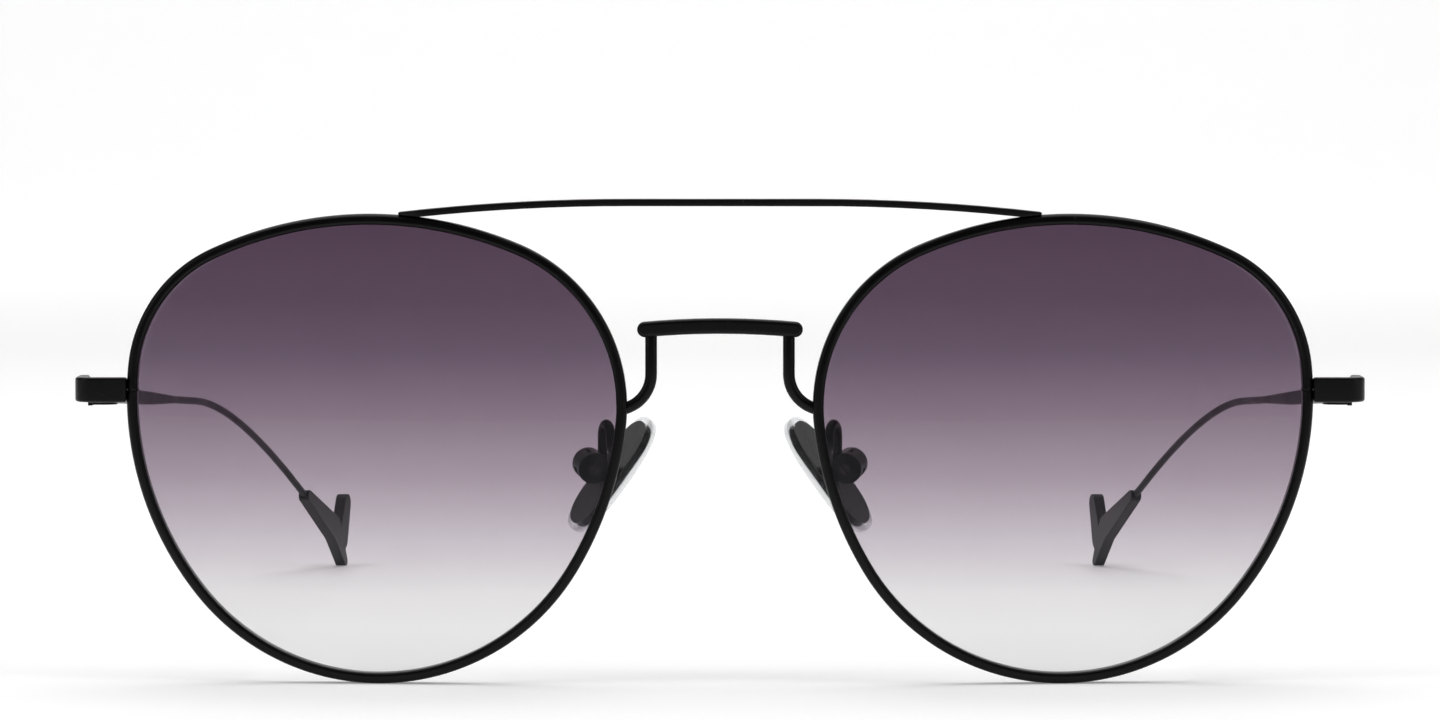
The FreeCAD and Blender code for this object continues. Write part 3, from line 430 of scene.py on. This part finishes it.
def make_rim(side, sign):
    """Eyewire swept round the lens, open at the split, with flat ends."""
    stations = open_outline()
    section = rim_section()
    count = len(section)
    points, faces = [], []
    for x, z, (nx, nz) in stations:
        for across, deep in section:
            px, pz = LENS_X + x - nx * across, LENS_Z + z - nz * across
            py = on_sphere(px, pz, BASE_RADIUS + RIM_DEPTH / 2 - deep)
            points.append((sign * px, py, pz))
    for row in range(len(stations) - 1):
        for column in range(count):
            right = (column + 1) % count
            faces.append((row * count + column, row * count + right,
                          (row + 1) * count + right, (row + 1) * count + column))
    last = (len(stations) - 1) * count
    faces.append(tuple(range(count)))
    faces.append(tuple(last + column for column in range(count)))
    new_piece(side + "_eyewire", points, faces, METAL, "front",
              [side + "_rim"])


def make_lens(side, sign):
    """Curved plate, meshed in rings, its rim seated in the eyewire."""
    thickness, seat, rings = 1.8, 0.66, 22
    outline = lens_outline()
    count = len(outline)
    points, faces = [], []
    for face_radius in (BASE_RADIUS + thickness / 2, BASE_RADIUS - thickness / 2):
        first = len(points)
        points.append((sign * LENS_X, on_sphere(LENS_X, LENS_Z, face_radius), LENS_Z))
        for ring in range(1, rings + 1):
            share = ring / rings
            for x, z, (nx, nz) in outline:
                px = LENS_X + (x - nx * seat) * share
                pz = LENS_Z + (z - nz * seat) * share
                points.append((sign * px, on_sphere(px, pz, face_radius), pz))
        for column in range(count):
            right = (column + 1) % count
            faces.append((first, first + 1 + column, first + 1 + right))
            for ring in range(rings - 1):
                row = first + 1 + ring * count
                faces.append((row + column, row + right, row + count + right,
                              row + count + column))
    edge = 1 + (rings - 1) * count
    half = 1 + rings * count
    for column in range(count):
        right = (column + 1) % count
        faces.append((edge + column, edge + right, half + edge + right, half + edge + column))
    new_piece(side + "_glass", points, faces, LENS, "front",
              [side + "_lens"])


# ---------------------------------------------------------------- nose pads

def pad_frame(sign):
    """From the pad's own axes, x across, y towards the nose, z along it, to the object's."""
    turn = (Matrix.Rotation(math.radians(-PAD_ROLL), 4, "Y")
            @ Matrix.Rotation(math.radians(PAD_YAW), 4, "Z"))
    place = Matrix.Translation(PAD_POINT) @ turn
    return Matrix.Diagonal((sign, 1, 1, 1)) @ place


def pad_outline():
    """Rounded outline of the pad, as a superellipse."""
    power = 2 / PAD_SQUARENESS
    points = []
    for step in range(PAD_STEPS):
        angle = math.tau * step / PAD_STEPS
        c, s = math.cos(angle), math.sin(angle)
        points.append((PAD_WIDTH / 2 * math.copysign(abs(c) ** power, c),
                       PAD_LENGTH / 2 * math.copysign(abs(s) ** power, s)))
    return points


def make_nose_pad(side, sign):
    """Soft pad: crowned towards the nose, its edge rounded, a recess behind for its core."""
    outline = pad_outline()
    count = PAD_STEPS
    # share of the outline, and depth, from the recess's middle round to the crown's middle
    inner = 1 - 2 * PAD_BORDER / PAD_WIDTH
    floor = CORE_THICKNESS
    profile = [(0.0, floor), (0.5 * inner, floor), (0.93 * inner, floor),
               (inner, floor - 0.08), (inner, 0.12), (inner + 0.02, 0.02),
               (0.93, 0.0), (0.965, 0.04), (0.988, 0.2), (1.0, 0.5), (0.995, 0.82),
               (0.97, 1.08), (0.92, 1.25), (0.82, 1.38), (0.66, 1.48), (0.45, 1.55),
               (0.22, 1.59), (0.0, PAD_THICKNESS)]
    points, faces, rows = [], [], []
    for share, depth in profile:
        if share == 0.0:
            rows.append([len(points)])
            points.append((0.0, depth, 0.0))
            continue
        rows.append(list(range(len(points), len(points) + count)))
        pull = PAD_WIDTH / 2 * (1 - share)
        for x, z in outline:
            stretch = 1 - pull / (PAD_LENGTH / 2)
            points.append((x * share, depth, z * stretch))
    for below, above in zip(rows, rows[1:]):
        for column in range(count):
            right = (column + 1) % count
            if len(below) == 1:
                faces.append((below[0], above[column], above[right]))
            elif len(above) == 1:
                faces.append((below[column], below[right], above[0]))
            else:
                faces.append((below[column], below[right], above[right], above[column]))
    place = pad_frame(sign)
    points = [place @ Vector(point) for point in points]
    new_piece(side + "_silicone_pad", points, faces, SILICONE, side + "_pad",
              [side + "_nose_pad"])


for side, sign in SIDES:
    make_rim(side, sign)
    make_lens(side, sign)
    make_nose_pad(side, sign)
    softened(side + "_pad_core", CORE, side + "_pad", 0.15)

softened("brow_bar", METAL, "front", 0.24)
softened("bridge_bar", METAL, "front", 0.4)

# node, body, edge width in millimetres
METAL_PARTS = (
    ("bridge_leg", "front", 0.12), ("endpiece", "front", 0.28),
    ("closing_block_upper", "front", 0.06), ("closing_block_lower", "front", 0.06),
    ("front_hinge", "front", 0.1), ("pad_arm", "front", 0.1), ("pad_box", "front", 0.18),
    ("temple_hinge", "temple", 0.1), ("temple", "temple", 0.16),
)
SCREW_PARTS = (("rim_lock_screw", "front", 0.06), ("hinge_screw", "front", 0.06),
               ("pad_screw", "front", 0.05))

for side, _ in SIDES:
    for node, body, width in METAL_PARTS:
        rider = body if body == "front" else side + "_" + body
        softened(side + "_" + node, METAL, rider, width)
    for node, body, width in SCREW_PARTS:
        softened(side + "_" + node, SCREW, body, width)
    softened(side + "_temple_tip", ACETATE, side + "_temple", 0.6, 5)


# ---------------------------------------------------------------- studio

def studio_sweep():
    """White floor that curves up into a white wall behind the glasses."""
    half, near, far, bend, tall, steps = 2.4, -1.6, 1.5, 0.6, 2.4, 10
    profile = [(near, 0.0), (far, 0.0)]
    for step in range(1, steps + 1):
        angle = math.radians(90 * step / steps)
        profile.append((far + bend * math.sin(angle), bend - bend * math.cos(angle)))
    profile.append((far + bend, tall))
    points = [(x, y, z) for y, z in profile for x in (-half, half)]
    faces = [(2 * i, 2 * i + 1, 2 * i + 3, 2 * i + 2) for i in range(len(profile) - 1)]
    mesh = bpy.data.meshes.new("studio_sweep")
    mesh.from_pydata(points, [], faces)
    for face in mesh.polygons:
        face.use_smooth = True
    n = Nodes("white_paper")
    paper = n.noise(900.0, 3.0)
    n.feed(n.shader.inputs["Base Color"],
           n.mix(paper, (0.9, 0.9, 0.9, 1), (0.93, 0.93, 0.93, 1)))
    n.shader.inputs["Roughness"].default_value = 0.9
    n.shader.inputs["Specular IOR Level"].default_value = 0.1
    n.shader.inputs["Emission Color"].default_value = (1.0, 1.0, 1.0, 1.0)
    n.shader.inputs["Emission Strength"].default_value = 0.21
    n.feed(n.shader.inputs["Normal"], n.bump(paper, 0.0001, 0.05))
    mesh.materials.append(n.material)
    sweep = placed("studio_sweep", mesh)


def softbox(name, place, aim, size, power):
    """Rectangular lamp aimed at a point, in metres and watts."""
    light = bpy.data.lights.new(name, "AREA")
    light.shape = "RECTANGLE"
    light.size, light.size_y = size
    light.energy = power
    lamp = placed(name, light)
    lamp.location = place
    lamp.rotation_euler = (Vector(aim) - Vector(place)).to_track_quat("-Z", "Y").to_euler()


studio_sweep()
softbox("top_softbox", (0.0, 0.1, 1.1), (0.0, 0.0, 0.0), (1.3, 1.1), 11.4)
for side, sign in (("left", -1), ("right", 1)):
    softbox(side + "_softbox", (sign * 1.1, -0.5, 0.6), (0.0, 0.0, 0.02), (0.35, 0.9), 2.2)
softbox("wall_light", (0.0, 1.0, 1.0), (0.0, 2.0, 0.6), (2.4, 0.8), 11.4)

world = bpy.data.worlds.new("studio")
world.use_nodes = True
background = world.node_tree.nodes["Background"].inputs
background["Color"].default_value = (1.0, 1.0, 1.0, 1.0)
background["Strength"].default_value = 0.08
bpy.context.scene.world = world
bpy.context.scene.view_settings.view_transform = "Standard"

# ---------------------------------------------------------------- camera

# metres above the floor and in front of the lenses, then the width seen at a distance
EYE_HEIGHT = 0.066
EYE_DISTANCE = 0.598
SEEN_AT = 0.6
SEEN_WIDTH = 0.1492
SENSOR_MM = 36.0
LOOK_DOWN = math.radians(3.07)

camera = bpy.data.cameras.new("camera")
camera.sensor_width = SENSOR_MM
camera.lens = SENSOR_MM * SEEN_AT / SEEN_WIDTH
camera.clip_start = 0.02
camera.clip_end = 20.0
eye = placed("camera", camera)
eye.location = (0.0, FRONT_Y * MM - EYE_DISTANCE, EYE_HEIGHT)
eye.rotation_euler = (math.radians(90) - LOOK_DOWN, 0.0, 0.0)
bpy.context.scene.camera = eye
